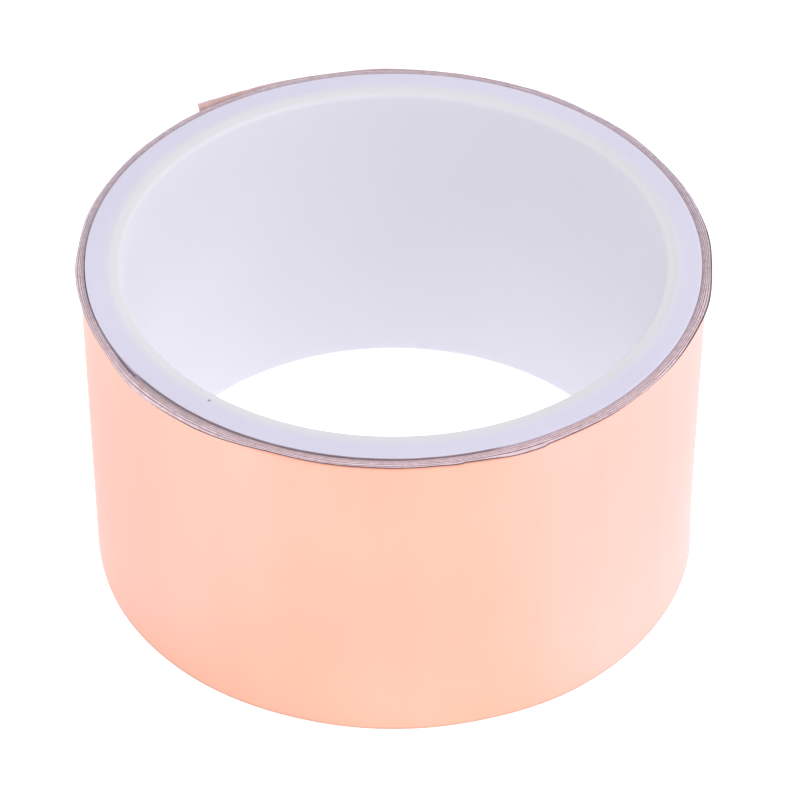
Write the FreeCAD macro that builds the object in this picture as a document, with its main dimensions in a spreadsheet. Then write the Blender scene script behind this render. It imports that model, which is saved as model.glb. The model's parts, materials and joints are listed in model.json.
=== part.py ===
"""Roll of copper foil tape on a white plastic core.

Frame: +Z up along the bore, origin where the bore's axis meets the flat end that the roll stands on.
Plan angles turn anticlockwise from +X as seen from above.

The tape is a laminate of three strips: release liner inside, adhesive, copper foil outside. It is wound
anticlockwise and outwards on a spiral of half circles with two centres, so every wall is a true cylinder.
The last stretch, the free end, is cut into short lengths that hinge on each other, and at the tip the
foil and its adhesive can part from the liner.
"""
import FreeCAD, Part
import math
import os
import Sketcher

DRIVING = [
    # alias, value in millimetres or degrees, what it is
    ("tape_width", 50.0, "width of the tape, and height of the wound part"),
    ("foil_thick", 0.04, "copper foil"),
    ("adhesive_thick", 0.03, "adhesive under the foil"),
    ("liner_thick", 0.05, "release liner under the adhesive"),
    ("bore_radius", 38.25, "bore of the core"),
    ("core_radius", 43.42, "outside of the core"),
    ("core_proud", 0.25, "how far the core stands above the tape's upper edge"),
    ("rim_radius", 40.2, "where the core's flat rim ends and its shallow bevel starts"),
    ("rim_drop", 0.25, "depth of that bevel at the bore"),
    ("lip_round", 0.2, "rounding between the bevel and the bore"),
    ("foot_chamfer", 1.0, "chamfer at the lower end of the bore"),
    ("corner_round", 0.15, "rounding of the core's outer corners"),
    ("tab_thick", 0.03, "double-sided tab that holds the first turn"),
    ("tab_angle", 33.0, "how far round the core that tab reaches"),
    ("tab_margin", 0.1, "how far the tab stays from the tape's edges"),
    ("start_angle", 217.0, "plan angle where the tape starts on the core"),
    ("full_turns", 5.0, "whole turns before the last, partial one"),
    ("fold_angle", 80.0, "plan angle of the free end's first hinge"),
    ("lift_angle", 107.3, "plan angle where the free end leaves the roll"),
    ("lifted_length", 17.0, "length of tape that stands off the roll"),
    ("lifted_radius", 78.0, "radius to which that length has relaxed"),
    ("free_gap", 0.05, "radial gap under the free end where it lies on the roll"),
    ("hinge_gap", 0.04, "gap between neighbouring lengths of the free end"),
    ("peel_gap", 0.02, "gap between the liner and the adhesive at the tip"),
]
HALF_TURN = 180.0
FULL_TURN = 360.0
UP = FreeCAD.Vector(0, 0, 1)
HORIZONTAL_AXIS = -1  # Sketcher's number for it; its first point is the sketch's origin

doc = FreeCAD.newDocument("copper_foil_tape_roll")
sheet = doc.addObject("Spreadsheet::Sheet", "Sizes")
for row, (alias, value, meaning) in enumerate(DRIVING, start=1):
    sheet.set(f"A{row}", meaning)
    sheet.set(f"B{row}", str(value))
    sheet.setAlias(f"B{row}", alias)
doc.recompute()

# Expressions that several sub-parts use. A layer's depths are measured outwards from the liner's inner face.
CORE_TOP = "Sizes.tape_width + Sizes.core_proud"
TAB_FACE = "Sizes.core_radius + Sizes.tab_thick"
UNDER_ADHESIVE = "Sizes.liner_thick"
UNDER_FOIL = f"{UNDER_ADHESIVE} + Sizes.adhesive_thick"
OVER_FOIL = f"{UNDER_FOIL} + Sizes.foil_thick"
LAYERS = {
    "liner": ("0", UNDER_ADHESIVE),
    "adhesive": (UNDER_ADHESIVE, UNDER_FOIL),
    "foil": (UNDER_FOIL, OVER_FOIL),
}


def amount(expression):
    """What an expression in the sheet's aliases comes to, as a plain number."""
    return float(sheet.evalExpression(expression))


def heading(degrees):
    """The horizontal unit vector at a plan angle."""
    angle = math.radians(degrees)
    return FreeCAD.Vector(math.cos(angle), math.sin(angle), 0)


def arc_angle(length, radius):
    """The angle in degrees that an arc of that length turns."""
    return math.degrees(length / radius)


# ---------------------------------------------------------------- core

def bind(sketch, kind, line, label, expression):
    """Ties one coordinate of a line's first point, measured from the sketch's origin, to the sheet."""
    distance = Sketcher.Constraint(kind, HORIZONTAL_AXIS, 1, line, 1, amount(expression))
    sketch.renameConstraint(sketch.addConstraint(distance), label)
    sketch.setExpression(f"Constraints.{label}", expression)


def outline_sketch(body, corners):
    """A closed outline on the body's XZ plane. A corner is a name, a radius and a height."""
    sketch = body.newObject("Sketcher::SketchObject", f"{body.Name}_outline")
    plane = next(item for item in body.Origin.OriginFeatures if item.Role == "XZ_Plane")
    sketch.AttachmentSupport = [(plane, "")]
    sketch.MapMode = "FlatFace"
    points = [FreeCAD.Vector(amount(across), amount(up), 0) for _, across, up in corners]
    count = len(corners)
    for line in range(count):
        sketch.addGeometry(Part.LineSegment(points[line], points[(line + 1) % count]), False)
    for line in range(count):
        sketch.addConstraint(Sketcher.Constraint("Coincident", line, 2, (line + 1) % count, 1))
    for line, (corner, across, up) in enumerate(corners):
        bind(sketch, "DistanceX", line, f"{corner}_across", across)
        if amount(up) > 0:
            bind(sketch, "DistanceY", line, f"{corner}_up", up)
        else:
            sketch.addConstraint(Sketcher.Constraint("PointOnObject", line, 1, HORIZONTAL_AXIS))
    return sketch


def circle_at(feature, radius, height):
    """The name of the feature's circular edge of that radius at that height."""
    close = 1e-4
    for number, edge in enumerate(feature.Shape.Edges, start=1):
        circle = edge.Curve
        if not isinstance(circle, Part.Circle):
            continue
        if abs(circle.Radius - amount(radius)) < close and abs(circle.Center.z - amount(height)) < close:
            return f"Edge{number}"
    raise RuntimeError(f"no circle of radius {radius} at height {height}")


def round_off(body, base, name, radius, circles):
    """Fillets circular edges of one of the body's features."""
    fillet = body.newObject("PartDesign::Fillet", name)
    fillet.Base = (base, [circle_at(base, across, up) for across, up in circles])
    fillet.setExpression("Radius", radius)
    doc.recompute()
    return fillet


def make_core():
    """The plastic tube: a flat rim with a shallow bevel to the bore above, and a chamfered bore below."""
    body = doc.addObject("PartDesign::Body", "core_tube")
    bevel_foot = f"{CORE_TOP} - Sizes.rim_drop"
    sketch = outline_sketch(body, [
        ("foot_inner", "Sizes.bore_radius + Sizes.foot_chamfer", "0"),
        ("foot_outer", "Sizes.core_radius", "0"),
        ("top_outer", "Sizes.core_radius", CORE_TOP),
        ("rim_edge", "Sizes.rim_radius", CORE_TOP),
        ("bore_top", "Sizes.bore_radius", bevel_foot),
        ("bore_foot", "Sizes.bore_radius", "Sizes.foot_chamfer"),
    ])
    tube = body.newObject("PartDesign::Revolution", "tube")
    tube.Profile = sketch
    tube.ReferenceAxis = (sketch, ["V_Axis"])
    tube.Angle = FULL_TURN
    doc.recompute()
    corners = [("Sizes.core_radius", "0"), ("Sizes.core_radius", CORE_TOP)]
    cornered = round_off(body, tube, "outer_corners", "Sizes.corner_round", corners)
    round_off(body, cornered, "bore_lip", "Sizes.lip_round", [("Sizes.bore_radius", bevel_foot)])
    return body


# ---------------------------------------------------------------- curved plates

def make_plate(name, inner, outer, height, angle, foot, begin):
    """A plate bent round the vertical line through foot: a sector of one cylinder less another."""
    plate = doc.addObject("Part::Cut", name)
    for use, radius, sweep in (("Base", outer, angle), ("Tool", inner, FULL_TURN)):
        cylinder = doc.addObject("Part::Cylinder", f"{name}_{use}")
        cylinder.setExpression("Radius", radius)
        cylinder.setExpression("Height", height)
        cylinder.setExpression("Angle", f"{sweep}")
        setattr(plate, use, cylinder)
    plate.Placement = FreeCAD.Placement(foot, FreeCAD.Rotation(UP, begin))
    return plate


def make_starter_tab():
    """The double-sided tab between the core and the first turn."""
    height = "Sizes.tape_width - 2 * Sizes.tab_margin"
    foot = UP * amount("Sizes.tab_margin")
    return make_plate(
        "starter_tab", "Sizes.core_radius", TAB_FACE, height, "Sizes.tab_angle", foot, START_ANGLE
    )


# ---------------------------------------------------------------- wound tape

PITCH = amount(OVER_FOIL)
START_ANGLE = amount("Sizes.start_angle")


def winding_centre(half_turn):
    """The centre of one half turn: the two centres lie a quarter pitch each side of the bore's axis."""
    side = -1 if half_turn % 2 == 0 else 1
    return heading(START_ANGLE) * (side * PITCH / 4)


def winding_radius(half_turn):
    """The radius of one half turn at the liner's inner face."""
    return amount(TAB_FACE) + PITCH / 4 + half_turn * PITCH / 2


def winding_arcs(depth, last):
    """The spiral at a depth in the laminate, from the tape's start through an angle, as arcs."""
    arcs = []
    begin = 0.0
    while begin < last:
        half_turn = int(begin // HALF_TURN)
        end = min((half_turn + 1) * HALF_TURN, last)
        centre = winding_centre(half_turn)
        radius = winding_radius(half_turn) + amount(depth)
        on_arc = [centre + heading(START_ANGLE + at) * radius for at in (begin, (begin + end) / 2, end)]
        arcs.append(Part.Arc(*on_arc).toShape())
        begin = end
    return arcs


def make_wound_strip(layer, last):
    """One strip of the laminate, from its start on the core round to the free end's first hinge."""
    inner, outer = (winding_arcs(depth, last) for depth in LAYERS[layer])
    start_face = Part.makeLine(outer[0].firstVertex().Point, inner[0].firstVertex().Point)
    last_face = Part.makeLine(inner[-1].lastVertex().Point, outer[-1].lastVertex().Point)
    outline = Part.Wire(inner + [last_face] + outer[::-1] + [start_face])
    strip = doc.addObject("Part::Feature", f"wound_{layer}")
    strip.Shape = Part.Face(outline).extrude(UP * amount("Sizes.tape_width"))
    strip.Placement = FreeCAD.Placement()
    return strip


# ---------------------------------------------------------------- free end

FOLD_ANGLE = amount("Sizes.fold_angle")
LIFT_ANGLE = amount("Sizes.lift_angle")
TURN_TO_FOLD = amount("Sizes.full_turns") * FULL_TURN + (FOLD_ANGLE - START_ANGLE) % FULL_TURN
LAST_HALF_TURN = int(TURN_TO_FOLD // HALF_TURN)
ROLL_CENTRE = winding_centre(LAST_HALF_TURN)
ROLL_RADIUS = winding_radius(LAST_HALF_TURN) + amount("Sizes.free_gap")
LIFTED_RADIUS = amount("Sizes.lifted_radius")
LIFTED_CENTRE = ROLL_CENTRE + heading(LIFT_ANGLE) * (ROLL_RADIUS - LIFTED_RADIUS)
HALF_FLAP = arc_angle(amount("Sizes.lifted_length") / 2, LIFTED_RADIUS)
HALF_GAP = amount("Sizes.hinge_gap") / 2

# The stations along the free end: the centre and radius of the liner's inner face there, and the plan angle.
STATIONS = {
    "fold_1": (ROLL_CENTRE, ROLL_RADIUS, FOLD_ANGLE),
    "fold_2": (ROLL_CENTRE, ROLL_RADIUS, (FOLD_ANGLE + LIFT_ANGLE) / 2),
    "fold_3": (LIFTED_CENTRE, LIFTED_RADIUS, LIFT_ANGLE),
    "peel": (LIFTED_CENTRE, LIFTED_RADIUS, LIFT_ANGLE + HALF_FLAP),
    "edge": (LIFTED_CENTRE, LIFTED_RADIUS, LIFT_ANGLE + 2 * HALF_FLAP),
}
# The pieces of the free end: their layer, the stations they run between, and the gap added under them.
PIECES = {
    "liner_end_1": ("liner", "fold_1", "fold_2", "0"),
    "liner_end_2": ("liner", "fold_2", "fold_3", "0"),
    "liner_end_3": ("liner", "fold_3", "edge", "0"),
    "adhesive_end_1": ("adhesive", "fold_1", "fold_2", "0"),
    "adhesive_end_2": ("adhesive", "fold_2", "fold_3", "0"),
    "adhesive_end_3": ("adhesive", "fold_3", "peel", "0"),
    "adhesive_tip": ("adhesive", "peel", "edge", "Sizes.peel_gap"),
    "foil_end_1": ("foil", "fold_1", "fold_2", "0"),
    "foil_end_2": ("foil", "fold_2", "fold_3", "0"),
    "foil_end_3": ("foil", "fold_3", "peel", "0"),
    "foil_tip": ("foil", "peel", "edge", "Sizes.peel_gap"),
}


def make_free_piece(name):
    """One layer of the free end between two of its stations, half a hinge gap short of each hinge."""
    layer, first, last, raised = PIECES[name]
    centre, radius, begin = STATIONS[first]
    end = begin + sweep_between(first, last)
    begin += arc_angle(HALF_GAP, radius)
    if last != "edge":
        end -= arc_angle(HALF_GAP, radius)
    inner, outer = (f"{radius} + {raised} + {depth}" for depth in LAYERS[layer])
    return make_plate(name, inner, outer, "Sizes.tape_width", end - begin, centre, begin)


def sweep_between(first, last):
    """The angle between two stations."""
    return STATIONS[last][2] - STATIONS[first][2]


def hinge_line(station):
    """Where a hinge's vertical axis stands: on the foil's outer face, so that it opens on the inside."""
    centre, radius, angle = STATIONS[station]
    return centre + heading(angle) * (radius + PITCH)


# ---------------------------------------------------------------- whole roll

def check(parts):
    """Stops before anything is written if an object failed or a shape isn't a sound solid."""
    for item in doc.Objects:
        if "Invalid" in item.State or "Error" in item.State:
            raise RuntimeError(f"{item.Name} did not recompute")
    for part in parts:
        if part.Shape.isNull() or not part.Shape.isValid() or part.Shape.Volume <= 0:
            raise RuntimeError(f"{part.Name} is not a valid solid")


def main():
    root_gap = arc_angle(HALF_GAP, ROLL_RADIUS)
    parts = [make_core(), make_starter_tab()]
    parts += [make_wound_strip(layer, TURN_TO_FOLD - root_gap) for layer in LAYERS]
    parts += [make_free_piece(name) for name in PIECES]
    doc.recompute()
    check(parts)
    os.makedirs("parts", exist_ok=True)
    for part in parts:
        part.Label = part.Name
        part.Shape.exportStep(f"parts/{part.Label}.step")
        print(f"{part.Label}: {part.Shape.Volume:.1f} mm3")
    for station in ("fold_1", "fold_2", "fold_3", "peel"):
        line = hinge_line(station)
        print(f"hinge {station}: x {line.x:.4f}, y {line.y:.4f}")


main()
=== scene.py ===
"""The looks of the copper foil tape roll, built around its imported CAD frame.

Lengths are in metres and plan angles in degrees, anticlockwise from +X as seen from above.
A place along the tape is a turn angle: how far round the core the tape has run since its start.
"""
import json
import math

import bpy
import numpy as np
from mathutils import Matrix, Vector


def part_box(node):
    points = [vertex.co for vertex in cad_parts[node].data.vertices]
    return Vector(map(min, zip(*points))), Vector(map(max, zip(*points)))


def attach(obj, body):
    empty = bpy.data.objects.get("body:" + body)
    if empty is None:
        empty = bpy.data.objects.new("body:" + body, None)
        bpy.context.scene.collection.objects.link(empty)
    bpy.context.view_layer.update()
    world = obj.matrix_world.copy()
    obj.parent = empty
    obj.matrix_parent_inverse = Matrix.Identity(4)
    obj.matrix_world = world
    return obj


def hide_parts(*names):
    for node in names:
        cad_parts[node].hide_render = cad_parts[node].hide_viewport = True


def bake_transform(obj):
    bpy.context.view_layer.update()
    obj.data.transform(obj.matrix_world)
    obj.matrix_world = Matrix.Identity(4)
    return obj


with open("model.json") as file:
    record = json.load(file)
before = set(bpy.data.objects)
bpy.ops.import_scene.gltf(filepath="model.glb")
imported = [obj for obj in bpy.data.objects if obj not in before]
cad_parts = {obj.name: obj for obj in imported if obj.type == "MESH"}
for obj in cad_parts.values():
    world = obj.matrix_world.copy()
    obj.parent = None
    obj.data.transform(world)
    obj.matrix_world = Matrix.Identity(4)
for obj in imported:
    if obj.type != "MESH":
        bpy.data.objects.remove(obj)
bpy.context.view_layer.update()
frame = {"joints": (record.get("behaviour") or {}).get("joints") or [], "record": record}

MM = 0.001
FULL_TURN = 360.0

# ---------------------------------------------------------------- sizes from the frame

HINGES = {joint["name"]: Vector(joint["pos_m"]) for joint in frame["joints"]}
MOUNTS = {mount["name"]: mount for mount in frame["record"]["mounts"]}

TAPE_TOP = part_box("wound_foil")[1].z
CORE_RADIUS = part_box("core_tube")[1].x
CORE_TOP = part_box("core_tube")[1].z
BORE_RADIUS = MOUNTS["core_bore"]["dims"]["r_mm"] * MM
BORE_LENGTH = MOUNTS["core_bore"]["dims"]["length_mm"] * MM

# ---------------------------------------------------------------- sizes of the tape

LINER_THICK = 0.05 * MM
ADHESIVE_THICK = 0.03 * MM
FOIL_THICK = 0.04 * MM
TAPE_THICK = LINER_THICK + ADHESIVE_THICK + FOIL_THICK
TAB_THICK = 0.03 * MM
START_ANGLE = 217.0
FULL_TURNS = 5
LIFTED_RADIUS = 78 * MM
TAB_SWEEP = 33.0


def heading(plan):
    """Unit vectors in plan at plan angles, as two arrays."""
    angle = np.radians(plan)
    return np.cos(angle), np.sin(angle)


def plan_angle(point):
    """The plan angle of a point, from 0 to 360."""
    return math.degrees(math.atan2(point.y, point.x)) % FULL_TURN


def turn_at(plan):
    """The turn angle at which the outermost turn passes a plan angle."""
    return FULL_TURNS * FULL_TURN + (plan - START_ANGLE) % FULL_TURN


FOLD_TURNS = [turn_at(plan_angle(HINGES[name])) for name in
              ("free_end_lift", "free_end_lift_2", "free_end_lift_3")]
LIFT_TURN = FOLD_TURNS[2]
LIFT_PLAN = plan_angle(HINGES["free_end_lift_3"])


def wound_radius(turn):
    """The radius of the liner's inner face while the tape lies tight on the roll."""
    return CORE_RADIUS + TAB_THICK + TAPE_THICK * turn / FULL_TURN


# ---------------------------------------------------------------- how loosely the turns lie

def ease(share):
    """A smooth rise from 0 to 1."""
    share = np.clip(share, 0, 1)
    return share * share * (3 - 2 * share)


def hump(at, begin, full, wane, end):
    """Rises from 0 at begin to 1 at full, stays, and falls from wane to 0 at end."""
    return ease((at - begin) / (full - begin)) * (1 - ease((at - wane) / (end - wane)))


def ripple(at, length, seed):
    """A smooth wobble between about -1 and 1, whose waves are about that long."""
    draw = np.random.default_rng(seed)
    total = 0
    for rate in (0.53, 0.87, 1.31, 1.9):
        total = total + np.sin(2 * math.pi * at * rate / length + draw.uniform(0, 2 * math.pi))
    return total / 2.6


STEP_DEPTH = 1.6 * MM
FOOT_DEPTH = 9 * MM
CURL_DEPTH = 0.5 * MM

# Places on the outermost turn that stand off more than the rest of it, or less: how far in millimetres, and the
# plan angles where that begins, is full, starts to fade and ends. The angles go on past 360.
EDGE_PLACES = [
    (0.26, 215, 225, 233, 250),  # splayed open over the tape's start
    (-0.15, 228, 243, 277, 290),  # pressed close at the front
    (0.19, 276.5, 280.6, 281.5, 282.3),  # a nick's raised side
    (0.24, 286, 291, 296.2, 297.4),  # a burr
    (0.16, 318.2, 319.4, 319.8, 320.4),  # a small bent corner
    (-0.10, 325, 343, 358, 380),  # pressed close on the right
]
UNDER_PLACES = [(0.15, 207, 221, 230, 252)]  # the turn under the outermost, splayed over the tape's start
FOOT_PLACES = [
    (0.26, 188, 212, 228, 254),  # on the left of the front
    (0.38, 284, 306, 342, 372),  # on the right of the front
]
CURL_PLACES = [
    (0.12, 222, 235, 300, 318),  # at the front
    (0.18, 322, 338, 362, 380),  # on the right
]


def local_gap(turn, places):
    """The summed stand-off of some places on the outermost turn, at turn angles."""
    plan = turn - FULL_TURNS * FULL_TURN + START_ANGLE
    return MM * sum(size * hump(plan, *angles) for size, *angles in places)


def flare_gap(turn):
    """How far a turn's upper edge stands off the turn under it.

    Outer turns are looser, and so is the front.
    """
    plan = np.radians(START_ANGLE + turn)
    side = 0.91 - 0.16 * np.sin(plan) - 0.14 * np.square(np.cos(plan))
    loose = 0.27 * MM * np.power(np.maximum(turn, 0) / (FULL_TURNS * FULL_TURN), 1.3)
    wobble = 1 + 0.35 * ripple(turn, 34, 3)
    local = local_gap(turn, EDGE_PLACES) + local_gap(turn + FULL_TURN, UNDER_PLACES)
    return loose * side * wobble + local


def step_gap(turn):
    """How far the first turn's upper edge stands off the core: over its puckered tab and at the turn's end."""
    over_tab = 0.29 * MM * (1 - ease((turn - 10) / 24)) + 0.11 * MM * (1 - ease((turn - 40) / 46))
    at_end = 0.40 * MM * ease((turn - 349) / 11)
    return np.where(turn < FULL_TURN / 2, over_tab, np.where(turn < FULL_TURN, at_end, 0))


def summed(gap, turn):
    """A gap added up over the turn at a turn angle and all the turns under it."""
    total = np.zeros_like(turn)
    for under in range(FULL_TURNS + 1):
        lower = turn - under * FULL_TURN
        total = total + np.where(lower >= 0, gap(lower), 0)
    return total


def edge_share(height, depth):
    """How much of an edge's stand-off is left at a height: all at the upper edge, none below the depth."""
    share = np.clip((height - (TAPE_TOP - depth)) / depth, 0, 1)
    return share * share


def flare_depth(turn):
    """How far down from the upper edge the turns stand off."""
    return (1.9 + 0.6 * np.cos(np.radians(START_ANGLE + turn))) * MM


def stand_off(turn, height):
    """How far the laminate stands outwards from its tight place."""
    flare = summed(flare_gap, turn) * edge_share(height, flare_depth(turn))
    step = summed(step_gap, turn) * edge_share(height, STEP_DEPTH)
    foot = local_gap(turn, FOOT_PLACES) * np.square(np.clip(1 - height / FOOT_DEPTH, 0, 1))
    return flare + step + foot


def foil_curl(turn, height):
    """How far the outermost turn's foil is rolled over outwards at its upper edge."""
    return local_gap(turn, CURL_PLACES) * edge_share(height, CURL_DEPTH)


def liner_swell(turn, height):
    """How far the liner's frayed upper edge swells inwards, nearly filling the opening under its own turn."""
    opening = flare_gap(turn) * edge_share(height, flare_depth(turn))
    on_first_turn = ease((turn - 120) / 40) * (1 - ease((turn - 340) / 20))
    on_later_turns = ease((turn - FULL_TURN) / 8)
    before_free_end = 1 - ease((turn - FOLD_TURNS[0] + 24) / 16)
    return 0.86 * opening * np.where(turn < FULL_TURN, on_first_turn, on_later_turns) * before_free_end


LIFT_RADIUS = HINGES["free_end_lift_3"].xy.length - TAPE_THICK
FREE_GAP = LIFT_RADIUS - wound_radius(LIFT_TURN)
LIFTED_CENTRE = [
    float(place) - float(way) * (LIFTED_RADIUS + TAPE_THICK)
    for place, way in zip(HINGES["free_end_lift_3"].xy, heading(LIFT_PLAN))
]


def lifted_sweep(point):
    """The angle from where the free end leaves the roll to a point on it, seen from its own centre."""
    return plan_angle(Vector((point.x - LIFTED_CENTRE[0], point.y - LIFTED_CENTRE[1], 0))) - LIFT_PLAN


def lifted_turn(sweep):
    """The turn angle at a sweep along the lifted stretch."""
    return LIFT_TURN + sweep * LIFTED_RADIUS / LIFT_RADIUS


PEEL_SWEEP = lifted_sweep(HINGES["foil_peel"])
PEEL_TURN = lifted_turn(PEEL_SWEEP)
TIP_TURN = lifted_turn(2 * PEEL_SWEEP)


def place(turn, height, depth):
    """Points of the tape: turn angles, heights and depths outwards from the liner's inner face, as arrays."""
    free = FREE_GAP * ease((turn - FOLD_TURNS[0] + 12) / 14)
    outwards = depth + stand_off(turn, height)
    on_roll = heading(START_ANGLE + turn)
    radius = wound_radius(np.minimum(turn, LIFT_TURN)) + free + outwards
    sweep = np.maximum(turn - LIFT_TURN, 0) * LIFT_RADIUS / LIFTED_RADIUS
    lifted = heading(LIFT_PLAN + sweep)
    is_lifted = turn > LIFT_TURN
    flat = []
    for axis in range(2):
        tight = on_roll[axis] * radius
        loose = LIFTED_CENTRE[axis] + lifted[axis] * (LIFTED_RADIUS + outwards)
        flat.append(np.where(is_lifted, loose, tight))
    return np.stack([flat[0], flat[1], height], axis=-1)


# ---------------------------------------------------------------- meshes

EDGE_DEPTHS = np.array([0, 0.12, 0.3, 0.55, 0.85, 1.2, 1.65, 2.2, 3.0, 4.2, 6.2]) * MM
BODY_HEIGHTS = np.array([0, 0.15, 0.6, 2.5, 9, 18, 27, 36]) * MM


def row_heights():
    """Heights of the mesh rows, close together near the upper edge."""
    return np.concatenate([BODY_HEIGHTS, (TAPE_TOP - EDGE_DEPTHS)[::-1]])


def new_mesh(name, points, faces, face_materials, materials):
    """An object from points, faces and the number of each face's material."""
    mesh = bpy.data.meshes.new(name)
    mesh.from_pydata(points, [], faces)
    for material in materials:
        mesh.materials.append(material)
    mesh.polygons.foreach_set("material_index", face_materials)
    mesh.polygons.foreach_set("use_smooth", [True] * len(faces))
    mesh.set_sharp_from_angle(angle=math.radians(35))
    mesh.validate()
    made = bpy.data.objects.new(name, mesh)
    bpy.context.scene.collection.objects.link(made)
    return made


def closed_strip(name, inner, outer, materials):
    """A closed strip between two grids of points, whose columns follow the tape and whose rows rise.

    Its wide faces take the first material and its narrow ones the second.
    """
    columns, levels = outer.shape[:2]
    inside = columns * levels
    points = np.concatenate([outer.reshape(-1, 3), inner.reshape(-1, 3)])

    def at(column, level):
        return column * levels + level

    wide, narrow = [], []
    for column in range(columns - 1):
        for level in range(levels - 1):
            corners = [at(column, level), at(column + 1, level),
                       at(column + 1, level + 1), at(column, level + 1)]
            wide.append(corners)
            wide.append([corner + inside for corner in reversed(corners)])
        for level, order in ((levels - 1, 1), (0, -1)):
            edge = [at(column, level), at(column + 1, level),
                    at(column + 1, level) + inside, at(column, level) + inside]
            narrow.append(edge[::order])
    for column, order in ((0, -1), (columns - 1, 1)):
        for level in range(levels - 1):
            end = [at(column, level), at(column, level) + inside,
                   at(column, level + 1) + inside, at(column, level + 1)]
            narrow.append(end[::order])
    numbers = [0] * len(wide) + [1] * len(narrow)
    return new_mesh(name, points.tolist(), wide + narrow, numbers, materials)


def tape_strip(name, layer, turns, materials):
    """A length of one layer of the tape, its edges wandering a little in height."""
    inner, outer, lower_trim, upper_trim, seed = LAYERS[layer]
    turn, height = np.meshgrid(turns, row_heights(), indexing="ij")
    top_wander = 0.02 * MM * ripple(turn, 47, seed) + 0.012 * MM * ripple(turn, 6.5, seed + 1)
    foot_wander = 0.02 * MM * (1.6 + ripple(turn, 53, seed + 2))
    rise = ease(height / TAPE_TOP)
    swell = liner_swell(turn, height) if layer == "liner" else 0
    curl = foil_curl(turn, height) if layer == "foil" else 0
    height = height + rise * (top_wander - upper_trim) + (1 - rise) * (foot_wander + lower_trim)
    return closed_strip(name, place(turn, height, inner - swell), place(turn, height, outer + curl), materials)


LAYERS = {
    # name: inner depth, outer depth, how far the lower and the upper edge are trimmed, seed of the wander
    "liner": (0, LINER_THICK, 0, 0, 11),
    "adhesive": (LINER_THICK, LINER_THICK + ADHESIVE_THICK, 0.05 * MM, 0.05 * MM, 11),
    "foil": (LINER_THICK + ADHESIVE_THICK, TAPE_THICK, 0, 0.03 * MM, 11),
}


def arc(centre_across, centre_up, radius, begin, end, count):
    """Points of a rounding in a lathe outline, as (radius, height) pairs."""
    found = []
    for step in range(count + 1):
        angle = math.radians(begin + (end - begin) * step / count)
        found.append((centre_across + radius * math.cos(angle), centre_up + radius * math.sin(angle)))
    return found


def core_outline():
    """The section of the core, from the foot of its outer wall up, over the rim and down the bore."""
    corner, lip, foot = 0.08 * MM, 0.75 * MM, 1.0 * MM
    rim_edge, bevel_drop = 40.2 * MM, 0.25 * MM
    outline = arc(CORE_RADIUS - corner, corner, corner, -90, 0, 5)
    outline += [(CORE_RADIUS, height * MM) for height in (6, 16, 26, 36, 46)]
    outline += arc(CORE_RADIUS - corner, CORE_TOP - corner, corner, 0, 90, 6)
    outline += [(rim_edge + share * (CORE_RADIUS - corner - rim_edge), CORE_TOP) for share in (0.7, 0.4, 0.15)]
    outline += bevel_points(rim_edge, bevel_drop, lip)
    outline += [(BORE_RADIUS, CORE_TOP - drop * MM) for drop in (2, 6, 13, 22, 31, 40)]
    outline += [(BORE_RADIUS, CORE_TOP - bevel_drop - BORE_LENGTH + 0.2 * MM)]
    outline += [(BORE_RADIUS + share * foot, (1 - share) * foot) for share in (0.02, 0.98)]
    outline += [(BORE_RADIUS + foot + 0.03 * MM, 0)]
    return outline


def bevel_points(rim_edge, drop, lip):
    """The shallow bevel from the flat rim down to the bore, with soft ends."""
    width = rim_edge - BORE_RADIUS
    slope = [(rim_edge - share * (width - lip), CORE_TOP - drop * ease(share) * 0.9)
             for share in (0, 0.08, 0.2, 0.4, 0.6, 0.8, 0.92)]
    return slope + arc(BORE_RADIUS + lip, CORE_TOP - drop - lip, lip, 100, 180, 5)


def lathe(name, outline, segments, materials):
    """A closed ring turned from an outline about the bore's axis."""
    count = len(outline)
    points = []
    for segment in range(segments):
        angle = 2 * math.pi * segment / segments
        for across, up in outline:
            points.append((across * math.cos(angle), across * math.sin(angle), up))
    faces = []
    for segment in range(segments):
        beside = (segment + 1) % segments
        for step in range(count):
            after = (step + 1) % count
            faces.append((segment * count + step, beside * count + step,
                          beside * count + after, segment * count + after))
    return new_mesh(name, points, faces, [0] * len(faces), materials)


# ---------------------------------------------------------------- materials

def node_adder(tree):
    """A function that adds a node of a kind to the tree, with settings."""
    def add(kind, **settings):
        node = tree.nodes.new(kind)
        for setting, value in settings.items():
            setattr(node, setting, value)
        return node

    return add


def new_material(name):
    """A material with its node tree, its principled shader and a function that adds a node."""
    material = bpy.data.materials.new(name)
    material.use_nodes = True
    return material, *material_parts(material)


def material_parts(material):
    """A material's node tree, its principled shader and a function that adds a node."""
    tree = material.node_tree
    return tree, tree.nodes["Principled BSDF"], node_adder(tree)


def link(tree, source, target):
    """Joins two sockets."""
    tree.links.new(source, target)


def math_node(tree, add, operation, first, second=None):
    """The output of a Math node. An input is a socket or a number."""
    node = add("ShaderNodeMath", operation=operation)
    for socket, value in zip(node.inputs, (first, second)):
        if value is None:
            continue
        if isinstance(value, (int, float)):
            socket.default_value = value
        else:
            link(tree, value, socket)
    return node.outputs[0]


def noise(tree, add, vector, scale, detail=3.0, rough=0.5, distortion=0.0):
    """The value of a noise texture over a vector."""
    node = add("ShaderNodeTexNoise")
    node.inputs["Scale"].default_value = scale
    node.inputs["Detail"].default_value = detail
    node.inputs["Roughness"].default_value = rough
    node.inputs["Distortion"].default_value = distortion
    link(tree, vector, node.inputs["Vector"])
    return node.outputs["Fac"]


def ramp(tree, add, value, stops):
    """A colour ramp over a value. A stop is a position and a colour."""
    node = add("ShaderNodeValToRGB")
    elements = node.color_ramp.elements
    for number, (position, colour) in enumerate(stops):
        element = elements[number] if number < 2 else elements.new(position)
        element.position = position
        element.color = (*colour, 1)
    link(tree, value, node.inputs["Fac"])
    return node.outputs["Color"]


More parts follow.
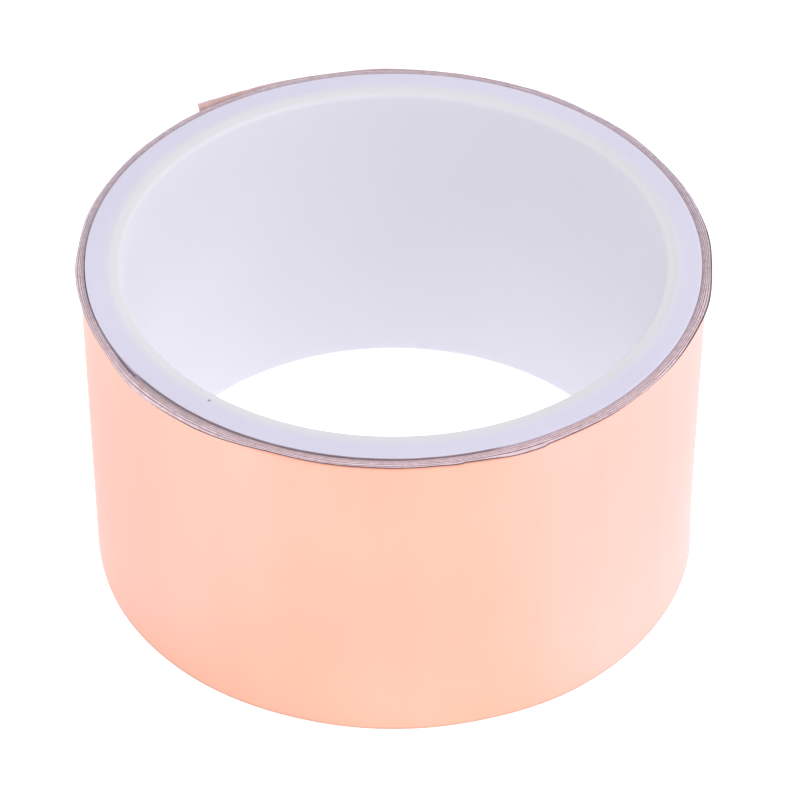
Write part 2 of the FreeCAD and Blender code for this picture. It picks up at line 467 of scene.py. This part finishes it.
def spread(tree, add, value, low, high):
    """Maps 0..1 to low..high."""
    node = add("ShaderNodeMapRange")
    node.inputs["To Min"].default_value = low
    node.inputs["To Max"].default_value = high
    link(tree, value, node.inputs["Value"])
    return node.outputs["Result"]


def share_between(tree, add, value, begin, end):
    """A smooth rise from 0 where a value is at its beginning to 1 where it is at its end."""
    node = add("ShaderNodeMapRange", interpolation_type="SMOOTHSTEP")
    node.inputs["From Min"].default_value = begin
    node.inputs["From Max"].default_value = end
    link(tree, value, node.inputs["Value"])
    return node.outputs["Result"]


def mixed(tree, add, factor, first, second):
    """A colour between two colours or colour sockets."""
    node = add("ShaderNodeMix", data_type="RGBA")
    link(tree, factor, node.inputs["Factor"])
    for socket, colour in ((node.inputs["A"], first), (node.inputs["B"], second)):
        if isinstance(colour, tuple):
            socket.default_value = (*colour, 1)
        else:
            link(tree, colour, socket)
    return node.outputs["Result"]


def bump(tree, add, shader, layers):
    """Bumps the shader's normal with heights. A layer is a height socket and a distance in metres."""
    normal = None
    for height, distance in layers:
        node = add("ShaderNodeBump")
        node.inputs["Distance"].default_value = distance
        link(tree, height, node.inputs["Height"])
        if normal:
            link(tree, normal, node.inputs["Normal"])
        normal = node.outputs["Normal"]
    link(tree, normal, shader.inputs["Normal"])


def own_point(add):
    """A point's coordinates in its object's own space."""
    return add("ShaderNodeTexCoord").outputs["Object"]


def coordinates(tree, add, vector):
    """A vector's three coordinates."""
    split = add("ShaderNodeSeparateXYZ")
    link(tree, vector, split.inputs[0])
    return split.outputs


def weighted(tree, add, first, share, second, other_share):
    """A socket times a share, plus another socket times its share. A share is a socket or a number."""
    return math_node(tree, add, "ADD", math_node(tree, add, "MULTIPLY", first, share),
                     math_node(tree, add, "MULTIPLY", second, other_share))


def axis_distance(tree, add, vector):
    """How far a point lies from the bore's axis."""
    across, along, up = coordinates(tree, add, vector)
    return math_node(tree, add, "SQRT", weighted(tree, add, across, across, along, along))


def plan_reach(tree, add, vector, way):
    """How far a point lies from the axis in one plan direction, given as its two parts."""
    across, along, up = coordinates(tree, add, vector)
    return weighted(tree, add, across, way[0], along, way[1])


def stretched(tree, add, vector, scale):
    """A vector scaled differently along its axes."""
    node = add("ShaderNodeMapping", vector_type="POINT")
    node.inputs["Scale"].default_value = scale
    link(tree, vector, node.inputs["Vector"])
    return node.outputs["Vector"]


def copper_material():
    """Bright rolled copper foil: fine rolling lines along the tape, faint cross bands and soft mottling, with
    painted shade darkening its upper edge and its foot.
    """
    material, tree, shader, add = new_material("copper_foil")
    given = own_point(add)
    up = coordinates(tree, add, given)[2]
    lines = noise(tree, add, stretched(tree, add, given, (1, 1, 60)), 60, detail=4, rough=0.65)
    bands = noise(tree, add, stretched(tree, add, given, (1, 1, 0.06)), 130, detail=2)
    clouds = noise(tree, add, given, 42, detail=3, distortion=0.4)
    tone = weighted(tree, add, clouds, 0.6, bands, 0.4)
    colour = ramp(tree, add, tone, [(0.30, (0.85, 0.477, 0.367)), (0.70, (0.90, 0.521, 0.411))])
    # painted shade: a patchy dark band (0.42, 0.23, 0.20) along the foil's upper edge, its boundary jittered by
    # noise
    edge_jitter = noise(tree, add, given, 900, detail=3)
    reach = spread(tree, add, edge_jitter, -0.12 * MM, 0.12 * MM)
    from_top = math_node(tree, add, "ADD", math_node(tree, add, "SUBTRACT", TAPE_TOP, up), reach)
    painted_top_shade = share_between(tree, add, from_top, 0.95 * MM, 0.35 * MM)
    shade_patchiness = share_between(tree, add, noise(tree, add, given, 75, detail=2), 0.40, 0.60)
    painted_top_shade = math_node(tree, add, "MULTIPLY", painted_top_shade, spread(tree, add, shade_patchiness, 0.25, 0.95))
    colour = mixed(tree, add, painted_top_shade, colour, (0.42, 0.23, 0.20))
    # painted shade: the foil darkens to (0.70, 0.40, 0.31) along its lowest 0.4 mm, where the roll stands on
    # the floor
    painted_foot_shade = share_between(tree, add, math_node(tree, add, "ADD", up, reach), 0.40 * MM, 0.15 * MM)
    colour = mixed(tree, add, painted_foot_shade, colour, (0.70, 0.40, 0.31))
    link(tree, colour, shader.inputs["Base Color"])
    sheen = weighted(tree, add, lines, 0.5, clouds, 0.5)
    link(tree, spread(tree, add, sheen, 0.30, 0.48), shader.inputs["Roughness"])
    shader.inputs["Metallic"].default_value = 1.0
    bump(tree, add, shader, [(lines, 0.000004), (bands, 0.00004)])
    return material


def plain_material(name, dark, light, scale, roughness, grain, subsurface=0.0):
    """A matt stuff whose colour and grain vary over a noise of that scale."""
    material, tree, shader, add = new_material(name)
    given = own_point(add)
    coarse = noise(tree, add, given, scale, detail=4)
    fine = noise(tree, add, given, scale * 9, detail=2)
    link(tree, ramp(tree, add, coarse, [(0.3, dark), (0.7, light)]), shader.inputs["Base Color"])
    link(tree, spread(tree, add, fine, roughness - 0.1, roughness + 0.1), shader.inputs["Roughness"])
    shader.inputs["Subsurface Weight"].default_value = subsurface
    shader.inputs["Subsurface Radius"].default_value = (1, 0.9, 0.9)
    shader.inputs["Subsurface Scale"].default_value = 0.8 * MM
    bump(tree, add, shader, [(fine, grain)])
    return material


def liner_edge_material():
    """The liner's frayed cut edge: pale at the front, with painted shade that darkens it towards the back."""
    material = plain_material("liner_cut_edge", (0.64, 0.47, 0.53), (0.86, 0.68, 0.75), 1100, 0.85, 0.00001)
    tree, shader, add = material_parts(material)
    pale = shader.inputs["Base Color"].links[0].from_socket
    # painted shade: towards the back the edge's colour is multiplied by (0.76, 0.84, 0.89)
    back_shade_share = share_between(tree, add, coordinates(tree, add, own_point(add))[1], -30 * MM, 20 * MM)
    darker = add("ShaderNodeMix", data_type="RGBA", blend_type="MULTIPLY")
    link(tree, back_shade_share, darker.inputs["Factor"])
    link(tree, pale, darker.inputs["A"])
    darker.inputs["B"].default_value = (0.76, 0.84, 0.89, 1)
    link(tree, darker.outputs["Result"], shader.inputs["Base Color"])
    return material


def painted_gap_shadow(tree, add, given, radius):
    """Where a thin dark line of painted shadow lies on the rim's outer corner, standing for the shade in the
    gap under the first turn: at the front, from the tape's start on.
    """
    side = share_between(tree, add, plan_reach(tree, add, given, (-0.284, -0.959)), 34.1 * MM, 36.4 * MM)
    shadow_edge_jitter = spread(tree, add, noise(tree, add, given, 350, detail=2), -0.03 * MM, 0.03 * MM)
    corner = share_between(tree, add, math_node(tree, add, "ADD", radius, shadow_edge_jitter),
                           CORE_RADIUS - 0.06 * MM, CORE_RADIUS)
    return math_node(tree, add, "MULTIPLY", side, corner)


def speck(tree, add, given):
    """A dark speck on the rim, near where the tape starts."""
    across, along = heading(START_ANGLE + 15)
    spot = add("ShaderNodeVectorMath", operation="DISTANCE")
    link(tree, given, spot.inputs[0])
    spot.inputs[1].default_value = (40.2 * MM * across, 40.2 * MM * along, CORE_TOP)
    return share_between(tree, add, spot.outputs["Value"], 0.30 * MM, 0.16 * MM)


def core_material():
    """White extruded plastic, a little translucent, cool on the cut rim; its paler bevel is a painted highlight
    and its lighter bore wall painted bounce light.
    """
    material, tree, shader, add = new_material("core_plastic")
    given = own_point(add)
    radius = axis_distance(tree, add, given)
    clouds = noise(tree, add, given, 25, detail=3)
    # painted highlight: the bevel's paler colour stands for light glowing at the rounded inner edge
    bevel = ramp(tree, add, clouds, [(0.3, (0.675, 0.67, 0.70)), (0.7, (0.70, 0.695, 0.725))])
    rim = ramp(tree, add, clouds, [(0.3, (0.635, 0.61, 0.76)), (0.7, (0.67, 0.65, 0.79))])
    # painted light: the bore wall is a lighter copy of the rim's colour, standing for bounce light inside the
    # bore
    wall = ramp(tree, add, clouds, [(0.3, (0.69, 0.675, 0.74)), (0.7, (0.72, 0.703, 0.765))])
    bevel_highlight_share = share_between(tree, add, radius, BORE_RADIUS + 0.05 * MM, BORE_RADIUS + 1.3 * MM)
    on_rim = share_between(tree, add, radius, BORE_RADIUS + 0.9 * MM, BORE_RADIUS + 3.1 * MM)
    plastic_tones = mixed(tree, add, on_rim, mixed(tree, add, bevel_highlight_share, wall, bevel), rim)
    # painted shadow: a thin dark line (0.30, 0.24, 0.28) on the rim's outer corner, for the shade in the gap
    # under the first turn
    gap_shadowed = mixed(tree, add, painted_gap_shadow(tree, add, given, radius), plastic_tones, (0.30, 0.24, 0.28))
    specked = mixed(tree, add, speck(tree, add, given), gap_shadowed, (0.33, 0.32, 0.36))
    link(tree, specked, shader.inputs["Base Color"])
    grain = noise(tree, add, stretched(tree, add, given, (1, 1, 0.05)), 900, detail=2)
    link(tree, spread(tree, add, clouds, 0.48, 0.62), shader.inputs["Roughness"])
    shader.inputs["Subsurface Weight"].default_value = 0.25
    shader.inputs["Subsurface Radius"].default_value = (1.0, 0.95, 1.0)
    shader.inputs["Subsurface Scale"].default_value = 1.5 * MM
    bump(tree, add, shader, [(grain, 0.000006)])
    return material


COPPER = copper_material()
FOIL_EDGE = plain_material("foil_cut_edge", (0.05, 0.03, 0.033), (0.24, 0.155, 0.155), 320, 0.5, 0.000004)
LINER = plain_material("liner_paper", (0.58, 0.40, 0.40), (0.68, 0.49, 0.48), 700, 0.75, 0.000006)
LINER_EDGE = liner_edge_material()
ADHESIVE = plain_material("adhesive_layer", (0.50, 0.36, 0.30), (0.62, 0.47, 0.40), 600, 0.35, 0.000004, 0.3)
CORE = core_material()
TAB = plain_material("starter_tab_face", (0.34, 0.27, 0.31), (0.44, 0.37, 0.41), 500, 0.6, 0.000006)

LAYER_LOOKS = {
    # layer: the record's slot, the material of its faces and the material of its cut edges
    "liner": ("liner", [LINER, LINER_EDGE]),
    "adhesive": ("adhesive", [ADHESIVE, ADHESIVE]),
    "foil": ("copper_foil", [COPPER, FOIL_EDGE]),
}

# ---------------------------------------------------------------- the tape's pieces

INNER_STEP = 1.5
OUTER_STEP = 0.4
FOLD_LEAD = 4.0
# How far each bend reaches before and after its line, in degrees. A bend that starts early dips towards the
# layer under it. So the first fold, which is tight on the roll, and the peel start late.
FOLD_SPANS = [(2.0, 4.0), (4.0, 4.0), (4.0, 4.0)]
PEEL_SPAN = (0.6, 1.8)


def steps(begin, end, size):
    """Evenly spaced turn angles from begin to end, about that far apart."""
    return np.linspace(begin, end, max(2, round((end - begin) / size) + 1))


def point_on(turn):
    """A point of the roll's outer face at mid height."""
    return place(np.array([turn]), np.array([TAPE_TOP / 2]), TAPE_THICK)[0].tolist()


WOUND_END = FOLD_TURNS[0] - FOLD_LEAD
CUTS = [WOUND_END, (FOLD_TURNS[0] + FOLD_TURNS[1]) / 2, (FOLD_TURNS[1] + FOLD_TURNS[2]) / 2,
        (LIFT_TURN + PEEL_TURN) / 2, TIP_TURN]


def wound_turns():
    """Turn angles of the wound strips' mesh columns, close together on the visible outer turn."""
    outer_begin = WOUND_END - FULL_TURN
    inner = steps(0, outer_begin, INNER_STEP)
    return np.concatenate([inner[:-1], steps(outer_begin, WOUND_END, OUTER_STEP)])


def finish_piece(node):
    """Hides the CAD node that a piece stands for."""
    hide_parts(node)


def bend(piece, turn, span):
    """Works out points on either side of a line at a turn angle, which are not used, and bakes the piece's
    transform into its mesh.
    """
    point_on(turn - span[0])
    point_on(turn + span[1])
    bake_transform(piece)


def make_layer(layer):
    """One layer of the tape: the wound part, three short lengths at the folds, and the tip."""
    materials = LAYER_LOOKS[layer][1]
    wound = tape_strip(f"{layer}_wound", layer, wound_turns(), materials)
    finish_piece(f"wound_{layer}")
    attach(wound, "roll")
    for number in range(3):
        turns = steps(CUTS[number], CUTS[number + 1], OUTER_STEP)
        piece = tape_strip(f"{layer}_fold_{number + 1}", layer, turns, materials)
        finish_piece(f"{layer}_end_{number + 1}")
        bend(piece, FOLD_TURNS[number], FOLD_SPANS[number])
    tip = tape_strip(f"{layer}_last", layer, steps(CUTS[3], CUTS[4], OUTER_STEP), materials)
    if layer == "liner":
        finish_piece("liner_end_3")
        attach(tip, "free_end_3")
    else:
        finish_piece(f"{layer}_tip")
        bend(tip, PEEL_TURN, PEEL_SPAN)


def make_tab():
    """The starter tab: flat on the core, its upper edge puckered where the first turn stands off."""
    low_corner, high_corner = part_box("starter_tab")
    rows = np.concatenate([np.linspace(low_corner.z, high_corner.z - STEP_DEPTH, 4),
                           high_corner.z - np.array([1.1, 0.7, 0.4, 0.2, 0.08, 0]) * MM])
    turn, height = np.meshgrid(np.linspace(0, TAB_SWEEP, 60), rows, indexing="ij")
    clearance = 0.004 * MM
    swell = step_gap(turn) * edge_share(height, STEP_DEPTH)
    across, along = heading(START_ANGLE + turn)
    faces = []
    for radius in (CORE_RADIUS + clearance, CORE_RADIUS + TAB_THICK + swell - clearance):
        faces.append(np.stack([across * radius, along * radius, height], axis=-1))
    piece = closed_strip("starter_tab_strip", faces[0], faces[1], [TAB, TAB])
    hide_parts("starter_tab")
    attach(piece, "roll")


for layer_name in LAYERS:
    make_layer(layer_name)

core = lathe("core", core_outline(), 288, [CORE])
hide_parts("core_tube")
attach(core, "roll")

make_tab()

# ---------------------------------------------------------------- floor, light and camera

def floor_material():
    """A plain white table that glows softly as if lit from below; its glow is painted light, brighter in the
    bore and around the roll's foot, cooler on the right and left.
    """
    neutral, cool_right, cool_left = (0.30, 0.30, 0.30), (0.40, 0.46, 0.64), (0.36, 0.41, 0.49)
    bright = (0.60, 0.60, 0.60)
    material = plain_material("studio_floor", (0.88, 0.88, 0.88), (0.90, 0.90, 0.90), 3, 0.9, 0.00001)
    tree, shader, add = material_parts(material)
    given = own_point(add)
    across = coordinates(tree, add, given)[0]
    radius = axis_distance(tree, add, given)
    to_right = share_between(tree, add, plan_reach(tree, add, given, (0.744, 0.668)), -18.5 * MM, 6 * MM)
    to_left = share_between(tree, add, across, -28 * MM, -48 * MM)
    in_bore = share_between(tree, add, radius, 41.5 * MM, 39.5 * MM)
    near_foot = share_between(tree, add, radius, 66 * MM, 46 * MM)
    # painted light: the floor's own emission is brighter in the bore and near the roll's foot, and cool-tinted
    # on the right and left
    glow = mixed(tree, add, to_right, neutral, cool_right)
    glow = mixed(tree, add, to_left, glow, cool_left)
    glow = mixed(tree, add, in_bore, glow, bright)
    link(tree, glow, shader.inputs["Emission Color"])
    link(tree, spread(tree, add, near_foot, 1.0, 1.25), shader.inputs["Emission Strength"])
    return material


def make_floor():
    """A wide flat sheet under the roll."""
    half = 3.0
    corners = [(-half, -half, 0), (half, -half, 0), (half, half, 0), (-half, half, 0)]
    floor = new_mesh("studio_floor_sheet", corners, [(0, 1, 2, 3)], [0], [floor_material()])


def make_world():
    """White surroundings, brighter at the horizon than overhead."""
    world = bpy.data.worlds.new("studio")
    bpy.context.scene.world = world
    world.use_nodes = True
    tree = world.node_tree
    split = tree.nodes.new("ShaderNodeSeparateXYZ")
    tree.links.new(tree.nodes.new("ShaderNodeTexCoord").outputs["Generated"], split.inputs[0])
    strength = tree.nodes.new("ShaderNodeMapRange")
    strength.inputs["To Min"].default_value = 1.15
    strength.inputs["To Max"].default_value = 0.58
    tree.links.new(split.outputs["Z"], strength.inputs["Value"])
    tree.links.new(strength.outputs["Result"], tree.nodes["Background"].inputs["Strength"])
    tree.nodes["Background"].inputs["Color"].default_value = (1, 1, 1, 1)


def make_light(name, azimuth, elevation, distance, size, power):
    """A square soft light aimed at the roll's middle. Azimuth 0 is in front, 90 on the right."""
    aim = Vector((0, 0, TAPE_TOP / 2))
    side, rise = math.radians(azimuth), math.radians(elevation)
    way = Vector((math.sin(side) * math.cos(rise), -math.cos(side) * math.cos(rise), math.sin(rise)))
    light = bpy.data.lights.new(name, "AREA")
    light.shape = "SQUARE"
    light.size = size
    light.energy = power
    lamp = bpy.data.objects.new(name, light)
    lamp.location = aim + way * distance
    lamp.rotation_mode = "QUATERNION"
    lamp.rotation_quaternion = (-way).to_track_quat("-Z", "Y")
    lamp.visible_camera = False
    bpy.context.scene.collection.objects.link(lamp)


def make_camera():
    """A long lens that looks down on the front of the roll."""
    elevation, distance = math.radians(40.74), 0.5309
    aim = Vector((0, 0, 23.05 * MM))
    camera_data = bpy.data.cameras.new("camera")
    camera_data.sensor_width = 36
    camera_data.lens = 163.9
    camera_data.shift_x = 0.0082
    camera_data.clip_start = 0.01
    camera_data.clip_end = 20
    camera = bpy.data.objects.new("camera", camera_data)
    way = Vector((0, -math.cos(elevation), math.sin(elevation)))
    camera.location = aim + way * distance
    camera.rotation_mode = "QUATERNION"
    camera.rotation_quaternion = (-way).to_track_quat("-Z", "Y")
    bpy.context.scene.collection.objects.link(camera)
    bpy.context.scene.camera = camera


make_floor()
make_world()
make_light("right_light", 75, 42, 1.3, 1.0, 7)
make_light("left_light", -60, 45, 1.3, 1.0, 2.5)
make_camera()
bpy.context.scene.view_settings.view_transform = "Standard"
